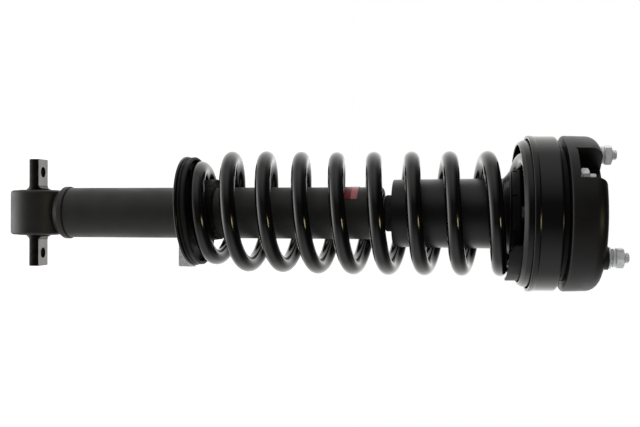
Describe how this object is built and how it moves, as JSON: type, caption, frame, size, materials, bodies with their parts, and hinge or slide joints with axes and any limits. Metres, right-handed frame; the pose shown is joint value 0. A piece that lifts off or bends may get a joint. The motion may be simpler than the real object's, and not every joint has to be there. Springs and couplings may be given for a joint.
{
  "type": "suspension strut assembly",
  "caption": "Loaded coil-over strut: bar-pin damper tube, black coil spring on rubber seats, dust cover and a round rubber-isolated upper mount with threaded studs.",
  "frame": {"origin": "where the strut axis meets the flat upper face of the mount, which the vehicle's strut tower sits on", "axes": "+Z along the strut axis, from the bar pin to the studs; X along the bar pin; Y square to both"},
  "size_m": [0.1482, 0.1513, 0.6141],
  "materials": {
    "housing_coat": "cast aluminium with a satin black coat",
    "cover_plastic": "smooth black plastic, slightly glossy",
    "rubber": "moulded black rubber",
    "cup_paint": "pressed steel, glossy black electro-coat",
    "tube_paint": "satin black paint on steel tube",
    "spring_coat": "glossy black powder coat on spring wire",
    "pin_steel": "grey satin phosphated forging",
    "zinc": "light grey zinc plating",
    "bright_steel": "ground and plated steel",
    "sintered_steel": "grey sintered steel",
    "bump_foam": "black cellular foam",
    "label_film": "plain dark red film without lettering"
  },
  "bodies": {
    "upper_mount": {"mount_housing": "housing_coat", "access_cap": "cover_plastic", "mount_rubber_ring": "rubber", "spring_cup": "cup_paint", "spring_seat_ring": "cup_paint", "upper_isolator": "rubber", "mount_bush": "rubber", "mount_stud_1": "zinc", "mount_stud_2": "zinc", "mount_stud_3": "zinc", "stud_nut_1": "zinc", "stud_nut_2": "zinc", "stud_nut_3": "zinc", "flat_washer_1": "zinc", "flat_washer_2": "zinc", "flat_washer_3": "zinc", "lock_washer_1": "zinc", "lock_washer_2": "zinc"},
    "rod": {"piston_rod": "bright_steel", "piston": "sintered_steel", "piston_band": "rubber", "rebound_valve": "bright_steel", "compression_valve": "bright_steel", "piston_nut": "zinc", "rebound_spacer": "bright_steel", "bump_cup": "tube_paint", "inner_sleeve": "bright_steel", "rod_washer": "zinc", "rod_nut": "zinc", "dust_cover": "cover_plastic", "cover_collar": "rubber"},
    "damper": {"reserve_tube": "tube_paint", "tube_label": "label_film", "base_cap": "tube_paint", "pressure_tube": "bright_steel", "base_valve": "sintered_steel", "rod_guide": "sintered_steel", "oil_seal": "rubber", "striker_plate": "tube_paint", "lower_seat": "cup_paint", "seat_support": "tube_paint", "seat_tab": "zinc", "lower_isolator": "rubber", "coil_spring": "spring_coat", "bump_stop": "bump_foam", "eye_ring": "tube_paint", "eye_rubber": "rubber"},
    "bar_pin": {"bar_pin": "pin_steel"}
  },
  "joints": [
    {"name": "mount_tilt", "type": "hinge", "parent": "upper_mount", "child": "rod", "pos_m": [0, 0, -0.036], "axis": [1, 0, 0], "range_deg": [-2.5, 2.5], "stiffness_Nm_per_rad": 600, "deforming": ["mount_bush", "upper_isolator", "coil_spring"]},
    {"name": "damper_stroke", "type": "slide", "parent": "rod", "child": "damper", "axis": [0, 0, 1], "range_m": [0, 0.095], "stiffness_N_per_m": 58000, "springref_m": -0.03, "deforming": ["coil_spring", "bump_stop"]},
    {"name": "bar_pin_twist", "type": "hinge", "parent": "damper", "child": "bar_pin", "pos_m": [0, 0, -0.5615], "axis": [1, 0, 0], "range_deg": [-20, 20], "stiffness_Nm_per_rad": 30}
  ]
}
